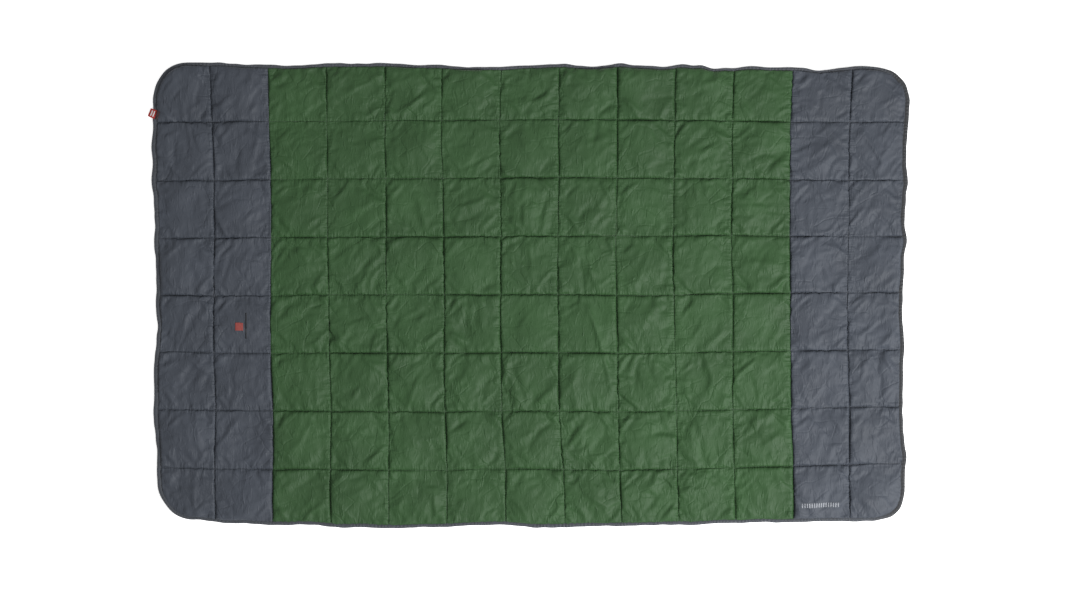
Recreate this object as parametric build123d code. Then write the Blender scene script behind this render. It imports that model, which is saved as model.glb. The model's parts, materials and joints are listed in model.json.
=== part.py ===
from build123d import *
import math
import os

os.makedirs("parts", exist_ok=True)

# Quilted camp quilt lying flat, in millimetres.
# X runs from the head end (-X) to the foot end (+X), Y across the width, Z up from the ground.

# Plan of the quilt
LENGTH = 1990.0
WIDTH = 1215.0
CORNER_R = 100.0
CORNER_FACETS = 6
COLUMNS = 13
ROWS = 8
PITCH = 152.4
PANEL_COLUMNS = 2

# Layers, from the ground up
CLOTH = 0.4
LAYER_GAP = 0.05
SEAM_BOTTOM = 6.0
SEAM_BATTING = 1.2
FACE_LOFT = 12.0

# How a pocket rises from its stitch lines: (distance from the line, share of the loft)
POCKET_RISE = [(13.0, 0.66), (44.0, 1.0)]
SEAM_LAND = 1.5
BORDER_LAND = 17.0

# Clearances
HALF_GAP = 0.3
PANEL_GAP = 0.3

# Binding tape folded over the layers' edge
BINDING_WIDTH = 12.0
BINDING_CLOTH = 0.5
BINDING_SLACK = 0.1

# Threads
THREAD_WIDTH = 1.2
THREAD_HEIGHT = 0.4
THREAD_LIFT = 0.05
ROW_THREAD_HEIGHT = 0.9
CROSSING_SLACK = 0.2
FOLD_THREAD_Y = -0.8

# Side label, sewn down along its inner edge
LABEL_ROOT_X = -984.0
LABEL_ROOT_Y = 470.0
LABEL_LENGTH = 19.0
LABEL_WIDTH = 22.0
LABEL_THICK = 0.8
LABEL_TILT = 22.0
LABEL_LIFT = 0.7

# Small printed marks
PRINT_THICK = 0.12

# Heights worked out from the layers
SEAM_LINING_TOP = SEAM_BOTTOM + CLOTH
SEAM_BATTING_BOTTOM = SEAM_LINING_TOP + LAYER_GAP
SEAM_BATTING_TOP = SEAM_BATTING_BOTTOM + SEAM_BATTING
SEAM_FACE_BOTTOM = SEAM_BATTING_TOP + LAYER_GAP
SEAM_TOP = SEAM_FACE_BOTTOM + CLOTH
FACE_TOP = SEAM_TOP + FACE_LOFT
BINDING_BOTTOM = SEAM_BOTTOM - BINDING_SLACK - BINDING_CLOTH
BINDING_TOP = SEAM_TOP + BINDING_SLACK + BINDING_CLOTH
LAYER_INSET = BINDING_CLOTH + BINDING_SLACK

ALL_COLUMNS = range(COLUMNS)
NEAR_ROWS = range(0, ROWS // 2)
FAR_ROWS = range(ROWS // 2, ROWS)


def column_line(index):
    """X of a line between columns; 0 and COLUMNS are the layers' own ends."""
    if index == 0:
        return -LENGTH / 2 + LAYER_INSET
    if index == COLUMNS:
        return LENGTH / 2 - LAYER_INSET
    return (index - COLUMNS / 2) * PITCH


def row_line(index):
    """Y of a line between rows; 0 and ROWS are the layers' own sides."""
    if index == 0:
        return -WIDTH / 2 + LAYER_INSET
    if index == ROWS:
        return WIDTH / 2 - LAYER_INSET
    return (index - ROWS / 2) * PITCH


def arc_points(cx, cy, radius, start):
    """A quarter circle in flat facets, counter-clockwise from the start angle in degrees."""
    points = []
    for step in range(CORNER_FACETS + 1):
        angle = math.radians(start + 90.0 * step / CORNER_FACETS)
        points.append((cx + radius * math.cos(angle), cy + radius * math.sin(angle)))
    return points


def quilt_outline(inset):
    """The quilt's rounded outline, moved inwards by inset."""
    x = LENGTH / 2 - CORNER_R
    y = WIDTH / 2 - CORNER_R
    radius = CORNER_R - inset
    points = arc_points(-x, -y, radius, 180)
    points += arc_points(x, -y, radius, 270)
    points += arc_points(x, y, radius, 0)
    points += arc_points(-x, y, radius, 90)
    return points


def prism(points, z0, z1):
    """An upright solid over a polygon, from z0 to z1."""
    face = Face(Wire.make_polygon([(x, y, z0) for x, y in points], close=True))
    return Solid.extrude(face, Vector(0, 0, z1 - z0))


def block(x0, x1, y0, y1, z0, z1):
    """A plain box between two corners."""
    return prism([(x0, y0), (x1, y0), (x1, y1), (x0, y1)], z0, z1)


def pocket_polygon(column, row, x0, x1, y0, y1):
    """A pocket's plan, counter-clockwise, with the quilt's corner rounded where it has one."""
    inset = LAYER_INSET
    radius = CORNER_R - inset
    cx = LENGTH / 2 - CORNER_R
    cy = WIDTH / 2 - CORNER_R
    left = column == 0
    right = column == COLUMNS - 1
    bottom = row == 0
    top = row == ROWS - 1
    points = []
    points += arc_points(-cx, -cy, radius, 180) if left and bottom else [(x0, y0)]
    points += arc_points(cx, -cy, radius, 270) if right and bottom else [(x1, y0)]
    points += arc_points(cx, cy, radius, 0) if right and top else [(x1, y1)]
    points += arc_points(-cx, cy, radius, 90) if left and top else [(x0, y1)]
    return points


def edge_is_seam(p, q, column, row, x0, x1, y0, y1):
    """Whether a pocket's edge lies on a stitch line, and not on the quilt's outside edge."""
    if abs(p[0] - q[0]) < 1e-6:
        if abs(p[0] - x0) < 1e-6:
            return column > 0
        return column < COLUMNS - 1
    if abs(p[1] - q[1]) < 1e-6:
        if abs(p[1] - y0) < 1e-6:
            return row > 0
        return row < ROWS - 1
    return False


def inset_polygon(points, distances):
    """A convex polygon with each edge moved inwards by its own distance."""
    count = len(points)
    lines = []
    for i in range(count):
        ax, ay = points[i]
        bx, by = points[(i + 1) % count]
        length = math.hypot(bx - ax, by - ay)
        nx = -(by - ay) / length
        ny = (bx - ax) / length
        lines.append((nx, ny, nx * ax + ny * ay + distances[i]))
    moved = []
    for i in range(count):
        a1, b1, c1 = lines[i - 1]
        a2, b2, c2 = lines[i]
        det = a1 * b2 - a2 * b1
        moved.append(((c1 * b2 - c2 * b1) / det, (a1 * c2 - a2 * c1) / det))
    return moved


def flat_face(points):
    """A planar face through 3-D points."""
    return Face(Wire.make_polygon(points, close=True))


def ring_faces(rings, heights):
    """Sloping faces between one pocket's nested polygons, and the flat one in the middle."""
    faces = []
    for k in range(len(rings) - 1):
        outer = rings[k]
        inner = rings[k + 1]
        for i in range(len(outer)):
            j = (i + 1) % len(outer)
            faces.append(
                flat_face(
                    [
                        (*outer[i], heights[k]),
                        (*outer[j], heights[k]),
                        (*inner[j], heights[k + 1]),
                        (*inner[i], heights[k + 1]),
                    ]
                )
            )
    faces.append(flat_face([(x, y, heights[-1]) for x, y in rings[-1]]))
    return faces


def pocket_layer(columns, rows, bottom, top, end_gap):
    """One closed layer of pockets. bottom and top are (height at the stitch lines, height at mid pocket)."""
    faces = []
    for column in columns:
        for row in rows:
            x0 = column_line(column)
            x1 = column_line(column + 1)
            y0 = row_line(row)
            y1 = row_line(row + 1)
            left_gap = end_gap if column == columns[0] and column > 0 else 0.0
            right_gap = end_gap if column == columns[-1] and column < COLUMNS - 1 else 0.0
            x0 += left_gap
            x1 -= right_gap
            if row == ROWS // 2:
                y0 += HALF_GAP / 2
            if row == ROWS // 2 - 1:
                y1 -= HALF_GAP / 2
            outline = pocket_polygon(column, row, x0, x1, y0, y1)
            land = []
            for i in range(len(outline)):
                p = outline[i]
                q = outline[(i + 1) % len(outline)]
                if not edge_is_seam(p, q, column, row, x0, x1, y0, y1):
                    land.append(BORDER_LAND)
                elif abs(p[0] - x0) < 1e-6 and abs(q[0] - x0) < 1e-6:
                    land.append(SEAM_LAND - left_gap)
                elif abs(p[0] - x1) < 1e-6 and abs(q[0] - x1) < 1e-6:
                    land.append(SEAM_LAND - right_gap)
                else:
                    land.append(SEAM_LAND)
            rings = [outline, inset_polygon(outline, land)]
            shares = [0.0, 0.0]
            for distance, share in POCKET_RISE:
                rings.append(inset_polygon(outline, [d + distance for d in land]))
                shares.append(share)
            for low, high in (bottom, top):
                faces += ring_faces(rings, [low + (high - low) * share for share in shares])
            for i in range(len(outline)):
                j = (i + 1) % len(outline)
                p = outline[i]
                q = outline[j]
                on_left = abs(p[0] - x0) < 1e-6 and abs(q[0] - x0) < 1e-6
                on_right = abs(p[0] - x1) < 1e-6 and abs(q[0] - x1) < 1e-6
                on_bottom = abs(p[1] - y0) < 1e-6 and abs(q[1] - y0) < 1e-6
                on_top = abs(p[1] - y1) < 1e-6 and abs(q[1] - y1) < 1e-6
                inside = (
                    (on_left and column > columns[0])
                    or (on_right and column < columns[-1])
                    or (on_bottom and row > rows[0])
                    or (on_top and row < rows[-1])
                )
                if not inside:
                    faces.append(
                        flat_face([(*p, bottom[0]), (*q, bottom[0]), (*q, top[0]), (*p, top[0])])
                    )
    return Solid(Shell(faces))


def half_of(shape, side):
    """The part of a shape on one side of the fold; side is -1 for near, 1 for far."""
    reach = LENGTH
    near = HALF_GAP / 2
    y0, y1 = (-reach, -near) if side < 0 else (near, reach)
    return shape & block(-reach, reach, y0, y1, -10, 60)


def save(shape, name):
    export_step(shape, "parts/" + name + ".step")


# Face panels, lining and batting, one of each for the near and the far half
HALVES = [("near", -1, NEAR_ROWS), ("far", 1, FAR_ROWS)]
PANELS = [
    ("face_head", range(0, PANEL_COLUMNS)),
    ("face_centre", range(PANEL_COLUMNS, COLUMNS - PANEL_COLUMNS)),
    ("face_foot", range(COLUMNS - PANEL_COLUMNS, COLUMNS)),
]
for half, side, rows in HALVES:
    for panel, columns in PANELS:
        inner = (SEAM_FACE_BOTTOM, FACE_TOP - CLOTH)
        outer = (SEAM_TOP, FACE_TOP)
        save(pocket_layer(columns, rows, inner, outer, PANEL_GAP / 2), panel + "_" + half)
    inner = (SEAM_LINING_TOP, CLOTH)
    outer = (SEAM_BOTTOM, 0.0)
    save(pocket_layer(ALL_COLUMNS, rows, outer, inner, 0.0), "lining_" + half)
    inner = (SEAM_BATTING_BOTTOM, CLOTH + LAYER_GAP)
    outer = (SEAM_BATTING_TOP, FACE_TOP - CLOTH - LAYER_GAP)
    save(pocket_layer(ALL_COLUMNS, rows, inner, outer, 0.0), "batting_" + half)

# Binding tape: a channel folded over the edge all round
binding = prism(quilt_outline(0.0), BINDING_BOTTOM, BINDING_TOP)
binding -= prism(quilt_outline(BINDING_WIDTH), BINDING_BOTTOM - 1, BINDING_TOP + 1)
binding -= prism(
    quilt_outline(BINDING_CLOTH),
    BINDING_BOTTOM + BINDING_CLOTH,
    BINDING_TOP - BINDING_CLOTH,
)
for half, side, rows in HALVES:
    save(half_of(binding, side), "edge_binding_" + half)

# Binding stitching: one run of thread above and one below
STITCH_INSET = BINDING_WIDTH - 2.6
stitch_top = BINDING_TOP + THREAD_LIFT
stitch_bottom = BINDING_BOTTOM - THREAD_LIFT
stitch_rings = []
for z0, z1 in ((stitch_top, stitch_top + 0.3), (stitch_bottom - 0.3, stitch_bottom)):
    ring = prism(quilt_outline(STITCH_INSET), z0, z1)
    ring -= prism(quilt_outline(STITCH_INSET + 0.8), z0 - 1, z1 + 1)
    stitch_rings.append(ring)
for half, side, rows in HALVES:
    halves = [half_of(ring, side).solids()[0] for ring in stitch_rings]
    save(Compound(children=halves), "binding_stitch_" + half)

# Quilting threads across the width: one thread on the face, one under the lining
THREAD_END_X = LENGTH / 2 - BINDING_WIDTH - 0.4
THREAD_END_Y = WIDTH / 2 - BINDING_WIDTH - 0.4
FACE_THREAD_Z = SEAM_TOP + THREAD_LIFT
LINING_THREAD_Z = SEAM_BOTTOM - THREAD_LIFT
for index in range(1, COLUMNS):
    x0 = column_line(index) - THREAD_WIDTH / 2
    x1 = column_line(index) + THREAD_WIDTH / 2
    for half, side, rows in HALVES:
        fold_end = 2.0 if side < 0 else HALF_GAP / 2
        y0, y1 = (-THREAD_END_Y, -fold_end) if side < 0 else (fold_end, THREAD_END_Y)
        over = block(x0, x1, y0, y1, FACE_THREAD_Z, FACE_THREAD_Z + THREAD_HEIGHT)
        under = block(x0, x1, y0, y1, LINING_THREAD_Z - THREAD_HEIGHT, LINING_THREAD_Z)
        save(Compound(children=[over, under]), "quilting_column_%02d_%s" % (index, half))

# Quilting threads along the length, each passing over the cross threads
for index in range(1, ROWS):
    middle = index == ROWS // 2
    y = FOLD_THREAD_Y if middle else row_line(index)
    width = THREAD_WIDTH - 0.2 if middle else THREAD_WIDTH
    strips = []
    for z0, z1, notch0, notch1 in (
        (
            FACE_THREAD_Z,
            FACE_THREAD_Z + ROW_THREAD_HEIGHT,
            FACE_THREAD_Z - 1,
            FACE_THREAD_Z + THREAD_HEIGHT + 0.05,
        ),
        (
            LINING_THREAD_Z - ROW_THREAD_HEIGHT,
            LINING_THREAD_Z,
            LINING_THREAD_Z - THREAD_HEIGHT - 0.05,
            LINING_THREAD_Z + 1,
        ),
    ):
        strip = block(-THREAD_END_X, THREAD_END_X, y - width / 2, y + width / 2, z0, z1)
        if not middle:
            for crossing in range(1, COLUMNS):
                reach = THREAD_WIDTH / 2 + CROSSING_SLACK
                x0 = column_line(crossing) - reach
                x1 = column_line(crossing) + reach
                strip -= block(x0, x1, y - 5, y + 5, notch0, notch1)
        strips += strip.solids()
    save(Compound(children=strips), "quilting_row_%d" % index)

# Side label: a small flap that lies over the binding, free at its outer end
LABEL_BOTTOM = BINDING_TOP + LABEL_LIFT
place = Location((LABEL_ROOT_X, LABEL_ROOT_Y, LABEL_BOTTOM), (0, 0, -LABEL_TILT))
label = block(-LABEL_LENGTH, 0, -LABEL_WIDTH / 2, LABEL_WIDTH / 2, 0, LABEL_THICK)
save(place * label, "side_label")
bars = []
for x in (-LABEL_LENGTH * 0.70, -LABEL_LENGTH * 0.42):
    bars.append(
        block(x - 1.5, x + 1.5, -7.0, 7.0, LABEL_THICK + 0.02, LABEL_THICK + 0.02 + PRINT_THICK)
    )
save(Compound(children=[place * bar for bar in bars]), "label_bars")

# Bar tack that holds the label's inner edge
tack = block(1.2, 2.4, -LABEL_WIDTH / 2, LABEL_WIDTH / 2, -0.3, 0.5)
save(place * tack, "label_tack")

# Plain marks printed on the face cloth, each on the flat top of a pocket
SPOT_X = -758.0
SPOT_Y = -88.0
print_z = FACE_TOP + 0.02
save(
    block(SPOT_X - 8, SPOT_X + 8, SPOT_Y - 8, SPOT_Y + 8, print_z, print_z + PRINT_THICK),
    "print_spot",
)
save(
    block(-745.0, -739.0, -104.0, -60.0, print_z, print_z + PRINT_THICK),
    "print_bar",
)
save(
    block(733.0, 791.0, -545.0, -537.0, print_z, print_z + PRINT_THICK),
    "print_strip",
)
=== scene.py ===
"""Camp quilt: the soft shapes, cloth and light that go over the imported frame."""

import json
import math

import bpy
import numpy as np
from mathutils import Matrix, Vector


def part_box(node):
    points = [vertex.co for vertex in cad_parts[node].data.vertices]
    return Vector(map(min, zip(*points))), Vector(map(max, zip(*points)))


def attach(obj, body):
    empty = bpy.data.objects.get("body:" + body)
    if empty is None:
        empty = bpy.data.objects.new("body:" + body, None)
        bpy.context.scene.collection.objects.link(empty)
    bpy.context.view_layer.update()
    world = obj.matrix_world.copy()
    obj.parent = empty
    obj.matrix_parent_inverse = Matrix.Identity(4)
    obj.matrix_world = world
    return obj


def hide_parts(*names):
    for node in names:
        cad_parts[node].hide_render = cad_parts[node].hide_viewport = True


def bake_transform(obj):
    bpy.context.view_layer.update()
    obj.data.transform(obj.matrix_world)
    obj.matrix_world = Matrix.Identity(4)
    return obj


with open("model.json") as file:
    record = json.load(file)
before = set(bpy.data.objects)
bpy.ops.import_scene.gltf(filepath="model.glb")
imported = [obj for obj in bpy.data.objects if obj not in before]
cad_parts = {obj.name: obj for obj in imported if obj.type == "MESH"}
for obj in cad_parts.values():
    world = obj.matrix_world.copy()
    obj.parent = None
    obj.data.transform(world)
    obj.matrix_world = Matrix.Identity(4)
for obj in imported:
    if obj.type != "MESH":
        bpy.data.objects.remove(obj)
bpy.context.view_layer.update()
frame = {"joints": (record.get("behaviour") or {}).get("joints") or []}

MM = 0.001


# ---------------------------------------------------------------- plan, from the frame
def middle(node):
    low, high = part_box(node)
    return [1000 * (a + b) / 2 for a, b in zip(low, high)]


HALF_L = 1000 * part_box("edge_binding_near")[1][0]
HALF_W = 1000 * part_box("edge_binding_far")[1][1]
CORNER_R = 100.0
COLUMNS = 13
ROWS = 8
FOLD_ROW = 4
COLUMN_X = [middle("quilting_column_%02d_near" % i)[0] for i in range(1, COLUMNS)]
ROW_Y = [middle("quilting_row_%d" % i)[1] for i in range(1, ROWS)]
ROW_Y[FOLD_ROW - 1] = 0.0
HEAD_SEAM = 2
FOOT_SEAM = 11

# How far in the binding covers the cloth, and where the hidden lines of cloth under it lie
END_REACH = 11.0
SIDE_REACH = 8.0
HIDDEN_EDGE = (0.68, 0.34)
SEAM_PITCH = COLUMN_X[1] - COLUMN_X[0]
# Height of the two cloths where they are sewn together
FACE_SEAM_Z = 8.3
LINING_SEAM_Z = 6.1
X_MARKS = [-HALF_L + END_REACH] + COLUMN_X + [HALF_L - END_REACH]
Y_MARKS = [-HALF_W + SIDE_REACH] + ROW_Y + [HALF_W - SIDE_REACH]
# A distance to either side of the fold, in metres: the batting keeps every grid line within 1.4 times
# it
BLEND_REACH = 0.028

# Bumps of the outline, fitted: where along the side, how far out, half width, in mm
EDGE_BUMPS = {
    "top": [
        (-860, -2.5, 60), (-755, -3.5, 50), (-600, -2, 60), (-537, 5, 60), (-385, 2.5, 50),
        (-235, 4, 40), (80, 2, 40), (128, -2, 25), (159, -3, 30), (240, 8, 35), (287, 2.5, 25),
        (320, 3, 30), (395, 8, 30), (448, 5, 22), (482, -5, 30), (530, -3, 20), (585, 2.5, 30),
        (700, 5, 70), (750, -5, 30), (850, 8, 50),
    ],
    "bottom": [
        (-900, -4, 45), (-866, -9, 70), (-765, -4.5, 35), (-650, 2.5, 30), (-510, 6.5, 50),
        (-385, 4, 60), (-235, 1.5, 32), (0, 8, 55), (80, 5, 45), (425, 4.5, 50), (545, 3.5, 40),
        (640, 2.5, 35), (711, 3.5, 80), (860, 5, 60),
    ],
    "left": [
        (472, 4, 30), (400, 8, 45), (301, 4, 40), (262, -3, 22), (135, 6.5, 38), (77, 3, 30),
        (-80, -6, 35), (-190, 6, 40), (-255, 9, 60), (-325, 5, 40), (-420, -4.5, 40),
    ],
    "right": [
        (410, -2.5, 28), (301, 7, 30), (240, 5.5, 50), (143, 9.5, 35), (0, -4, 40), (-60, -5, 32),
        (-146, 2, 30), (-320, -4, 75), (-445, 6, 32),
    ],
}
# How far the four corners are pulled out of (or into) their round, and over what distance
CORNER_PULLS = [(1, -1, 21, 75), (1, 1, 8, 70), (-1, -1, -9, 80)]


def warp(x, y):
    """How the laid-out quilt strays from a true rectangle, in mm: bowed seams and a wavy outline."""
    u = x / HALF_L
    v = y / HALF_W
    dx = 1.3 - 5.8 * u + 3.1 * u**2
    dx = dx + v * (-5.9 + 4.5 * u + 4.6 * u**2) + v**2 * (4.6 + 8.6 * u - 2.6 * u**2)
    dy = 4.6 * u + 0.7 * u**2 + v * (6.1 - 2.6 * u - 14.0 * u**2)
    dy = dy - v**2 * (0.6 + 2.3 * u - 1.8 * u**2)
    top = np.clip((v - 0.72) / 0.28, 0, 1.2) ** 1.5
    bottom = np.clip((-v - 0.72) / 0.28, 0, 1.2) ** 1.5
    left = np.clip((-u - 0.8) / 0.2, 0, 1.2) ** 1.5
    right = np.clip((u - 0.8) / 0.2, 0, 1.2) ** 1.5
    dy = dy + top * (-9.2 - 8.9 * u + 7.9 * u**2 + 3.2 * np.sin(x / 74.0 + 0.6))
    dy = dy + bottom * (4.4 + 1.5 * u + 3.0 * u**2 + 1.8 * np.sin(x / 88.0 + 2.0))
    dx = dx + left * 3.4 * np.sin(y / 54.0 - 0.5)
    dx = dx + right * (-9.5 + 3.0 * v + 2.6 * np.sin(y / 71.0 + 1.0))
    dx = dx + 1.9 * noise(91, x, y, 150.0)
    dy = dy + 1.5 * noise(92, x, y, 190.0)
    for side, along, depth in (("top", x, v), ("bottom", x, -v), ("left", y, -u), ("right", y, u)):
        out = sum(
            far * np.exp(-(((along - place) / reach) ** 2)) for place, far, reach in EDGE_BUMPS[side]
        )
        out = out * np.clip((depth - 0.86) / 0.14, 0, 1.2) ** 1.5
        if side in ("top", "bottom"):
            dy = dy + (out if side == "top" else -out)
        else:
            dx = dx + (out if side == "right" else -out)
    for end, flank, far, reach in CORNER_PULLS:
        near = np.hypot(x - end * HALF_L, y - flank * HALF_W)
        out = far / math.sqrt(2) * np.exp(-((near / reach) ** 2))
        dx = dx + end * out
        dy = dy + flank * out
    return x + dx, y + dy


def warped(points):
    out = np.array(points, float)
    out[..., 0], out[..., 1] = warp(out[..., 0], out[..., 1])
    return out


def edge_distance(x, y):
    """How far a point is inside the quilt's rounded outline, before it is warped."""
    qx = np.abs(x) - (HALF_L - CORNER_R)
    qy = np.abs(y) - (HALF_W - CORNER_R)
    outside = np.hypot(np.maximum(qx, 0), np.maximum(qy, 0))
    return CORNER_R - outside - np.minimum(np.maximum(qx, qy), 0)


def tape_reach(x):
    """How far in the binding covers the cloth: more at the two ends than along the sides."""
    share = np.clip((np.abs(x) - HALF_L + CORNER_R) / CORNER_R, 0, 1)
    return SIDE_REACH + (END_REACH - SIDE_REACH) * share


def axis_points(marks, cells, near):
    """Grid lines along one side: closer together by the seams, and two more under the binding."""
    near = np.array(near)
    places = []
    for a, b in zip(marks[:-1], marks[1:]):
        inner = np.linspace(near[-1], b - a - near[-1], cells - 2 * len(near) + 1)
        places.append(a + np.concatenate([[0], near, inner[1:-1], b - a - near[::-1]]))
    covered = END_REACH if marks is X_MARKS else SIDE_REACH
    edge = np.array([marks[-1] + covered * (1 - share) for share in HIDDEN_EDGE])
    return np.concatenate([-edge[::-1], *places, [marks[-1]], edge])


def noise(seed, x, y, wavelength):
    """Smooth random field of about unit size over a grid of points."""
    rng = np.random.default_rng(seed)
    reach_x = 2 * HALF_L / wavelength
    reach_y = 2 * HALF_W / wavelength
    grid = rng.standard_normal((int(reach_x) + 6, int(reach_y) + 6))
    fx = np.clip((x + HALF_L) / wavelength + 1, 0, reach_x + 2)
    fy = np.clip((y + HALF_W) / wavelength + 1, 0, reach_y + 2)
    ix = fx.astype(int)
    iy = fy.astype(int)
    tx = fx - ix
    ty = fy - iy

    def weights(t):
        return (
            (1 - t) ** 3 / 6,
            (3 * t**3 - 6 * t**2 + 4) / 6,
            (-3 * t**3 + 3 * t**2 + 3 * t + 1) / 6,
            t**3 / 6,
        )

    wx = weights(tx)
    wy = weights(ty)
    out = np.zeros(np.shape(x))
    for a in range(4):
        for b in range(4):
            out += wx[a] * wy[b] * grid[ix + a, iy + b]
    return 2.1 * out


# ---------------------------------------------------------------- cloth solver
def pull(points, weight, first, second, rest, stiffness):
    """Moves every pair of points towards its rest length."""
    a = points[first]
    b = points[second]
    wa = weight[first]
    wb = weight[second]
    apart = b - a
    length = np.sqrt(np.einsum("...k,...k->...", apart, apart))
    share = (length - rest) / (length * (wa + wb) + 1e-9) * stiffness
    apart *= share[..., None]
    points[first] += apart * wa[..., None]
    points[second] -= apart * wb[..., None]


def rest_lengths(base, spare):
    """Rest lengths of every pair that relax() pulls: the base shape's own, plus the spare cloth."""

    def apart(a, b, *spares):
        length = np.linalg.norm(b - a, axis=-1) * (1 + sum(spares) / len(spares))
        return length.astype(np.float32)

    corners = (spare[:-1, :-1], spare[1:, :-1], spare[:-1, 1:], spare[1:, 1:])
    return (
        apart(base[:-1], base[1:], spare[:-1], spare[1:]),
        apart(base[:, :-1], base[:, 1:], spare[:, :-1], spare[:, 1:]),
        apart(base[:-1, :-1], base[1:, 1:], *corners),
        apart(base[:-1, 1:], base[1:, :-1], *corners),
        apart(base[:-2], base[2:], spare[1:-1]),
        apart(base[:, :-2], base[:, 2:], spare[:, 1:-1]),
    )


def relax(points, weight, lengths, rest_z, floor, up, down, steps, bend):
    """Lets a sheet with spare cloth buckle over soft batting."""
    nx, ny = points.shape[:2]
    every = slice(None)
    across, along, rising, falling, across2, along2 = lengths
    rest_z = rest_z.astype(np.float32)
    speed = np.zeros_like(points)
    for step in range(steps):
        before = points.copy()
        points += speed * (0.92 * weight)[..., None]
        for sweep in range(4):
            for c in (0, 1):
                i = slice(c, nx - 1, 2)
                pull(points, weight, (i, every), (slice(c + 1, nx, 2), every), across[i], 1.0)
            for c in (0, 1):
                j = slice(c, ny - 1, 2)
                pull(points, weight, (every, j), (every, slice(c + 1, ny, 2)), along[:, j], 1.0)
            for c in (0, 1):
                i = slice(c, nx - 1, 2)
                k = slice(c + 1, nx, 2)
                low = slice(0, ny - 1)
                high = slice(1, ny)
                pull(points, weight, (i, low), (k, high), rising[i], 0.5)
                pull(points, weight, (i, high), (k, low), falling[i], 0.5)
            for c in range(4):
                i = slice(c, nx - 2, 4)
                pull(points, weight, (i, every), (slice(c + 2, nx, 4), every), across2[i], bend)
                j = slice(c, ny - 2, 4)
                pull(points, weight, (every, j), (every, slice(c + 2, ny, 4)), along2[:, j], bend)
            gap = rest_z - points[..., 2]
            points[..., 2] += np.where(gap > 0, up * gap, down * gap) * weight
            np.maximum(points[..., 2], floor, out=points[..., 2])
        speed = points - before
    return points


def nearest(values, marks):
    return np.min(np.abs(values[..., None] - np.array(marks)), axis=-1)


def seam_profile(distance, trench_w, dome_w):
    """Two parts of the height away from a seam: the steep trench beside it and the slow dome."""
    distance = np.maximum(distance, 0)
    return 1 - np.exp(-((distance / trench_w) ** 1.3)), 1 - np.exp(-distance / dome_w)


def add_fold(field, xs, ys, start, angle, length, tall, wide, skew, bow, peak):
    """Adds one tapering ridge (or valley) to a height field."""
    ax = math.cos(angle)
    ay = math.sin(angle)
    end = (start[0] + ax * length, start[1] + ay * length)
    reach = 4 * wide
    i0, i1 = np.searchsorted(xs, (min(start[0], end[0]) - reach, max(start[0], end[0]) + reach))
    j0, j1 = np.searchsorted(ys, (min(start[1], end[1]) - reach, max(start[1], end[1]) + reach))
    if i0 == i1 or j0 == j1:
        return
    x = xs[i0:i1, None] - start[0]
    y = ys[None, j0:j1] - start[1]
    along = (x * ax + y * ay) / length
    t = np.clip(along, 0, 1)
    off = y * ax - x * ay - bow * length * np.sin(np.pi * t)
    width = np.where(off > 0, wide * (1 + skew), wide * (1 - skew))
    crest = 0.35 * wide
    ridge = np.exp(-(np.sqrt(off**2 + crest**2) - crest) / width)
    beyond = np.maximum(-along, along - 1).clip(0) * length
    taper = np.sin(np.pi * t**peak) * np.exp(-((beyond / wide) ** 2))
    field[i0:i1, j0:j1] += tall * ridge * taper


# Long folds, listed one by one: start and end in mm, height and half width of the ridge
LONG_FOLDS = [
    (150, -30, 214, -282, 8.0, 4.0),
    (-70, -186, -22, -300, 4.2, 3.1),
    (-52, -180, -12, -302, -3.8, 3.1),
    (-78, 58, -8, 32, 3.8, 2.5),
    (534, -30, 592, -80, 4.6, 3.7),
    (596, 62, 640, 130, -4.2, 3.7),
    (706, 130, 815, 178, 4.9, 4.3),
    (720, 330, 790, 215, 4.9, 4.3),
    (760, 440, 832, 330, -4.6, 4.3),
    (870, 430, 940, 330, 4.9, 4.3),
    (716, -330, 800, -210, 4.6, 4.3),
    (400, 250, 440, 160, 4.2, 3.1),
    (-300, 420, -250, 320, 3.8, 3.1),
    (-455, -20, -395, -120, 3.8, 3.1),
    (-640, 150, -560, 40, 3.8, 3.7),
    (330, -470, 420, -560, 4.2, 3.7),
    (-150, -380, -60, -440, 3.8, 3.1),
    (-780, -330, -860, -430, 3.8, 3.7),
    (840, 385, 905, 318, -6.0, 2.8),
    (905, 215, 968, 160, -5.5, 2.8),
    (878, 228, 818, 160, 5.0, 2.6),
    (789, 450, 737, 412, 4.8, 2.4),
    (700, 380, 750, 405, -5.0, 2.4),
    (757, 545, 750, 475, -5.5, 2.6),
    (700, 238, 728, 285, -5.0, 2.4),
    (290, -60, 343, -106, -5.5, 2.6),
    (428, -118, 450, -84, 4.5, 2.4),
    (492, -8, 524, -46, -5.0, 2.4),
    (303, 46, 344, 8, -5.5, 2.6),
    (238, 52, 272, 34, -4.5, 2.4),
    (540, -230, 598, -172, 5.0, 2.8),
    (389, -280, 430, -300, -5.0, 2.4),
    (560, -330, 610, -395, -5.5, 2.6),
    (645, -480, 700, -545, -5.0, 2.6),
    (-420, -330, -372, -392, -5.0, 2.6),
    (-560, 330, -500, 262, -5.0, 2.6),
    (-905, 120, -860, 62, -5.0, 2.6),
]


FOLDS_A_SIDE = 20
# Heights of the random folds, in mm, before each pocket's own strength
PUCKER_TALL = 3.0
CORNER_TALL = 5.2
LONG_TALL = 3.4
SMALL_TALL = 3.8


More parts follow.
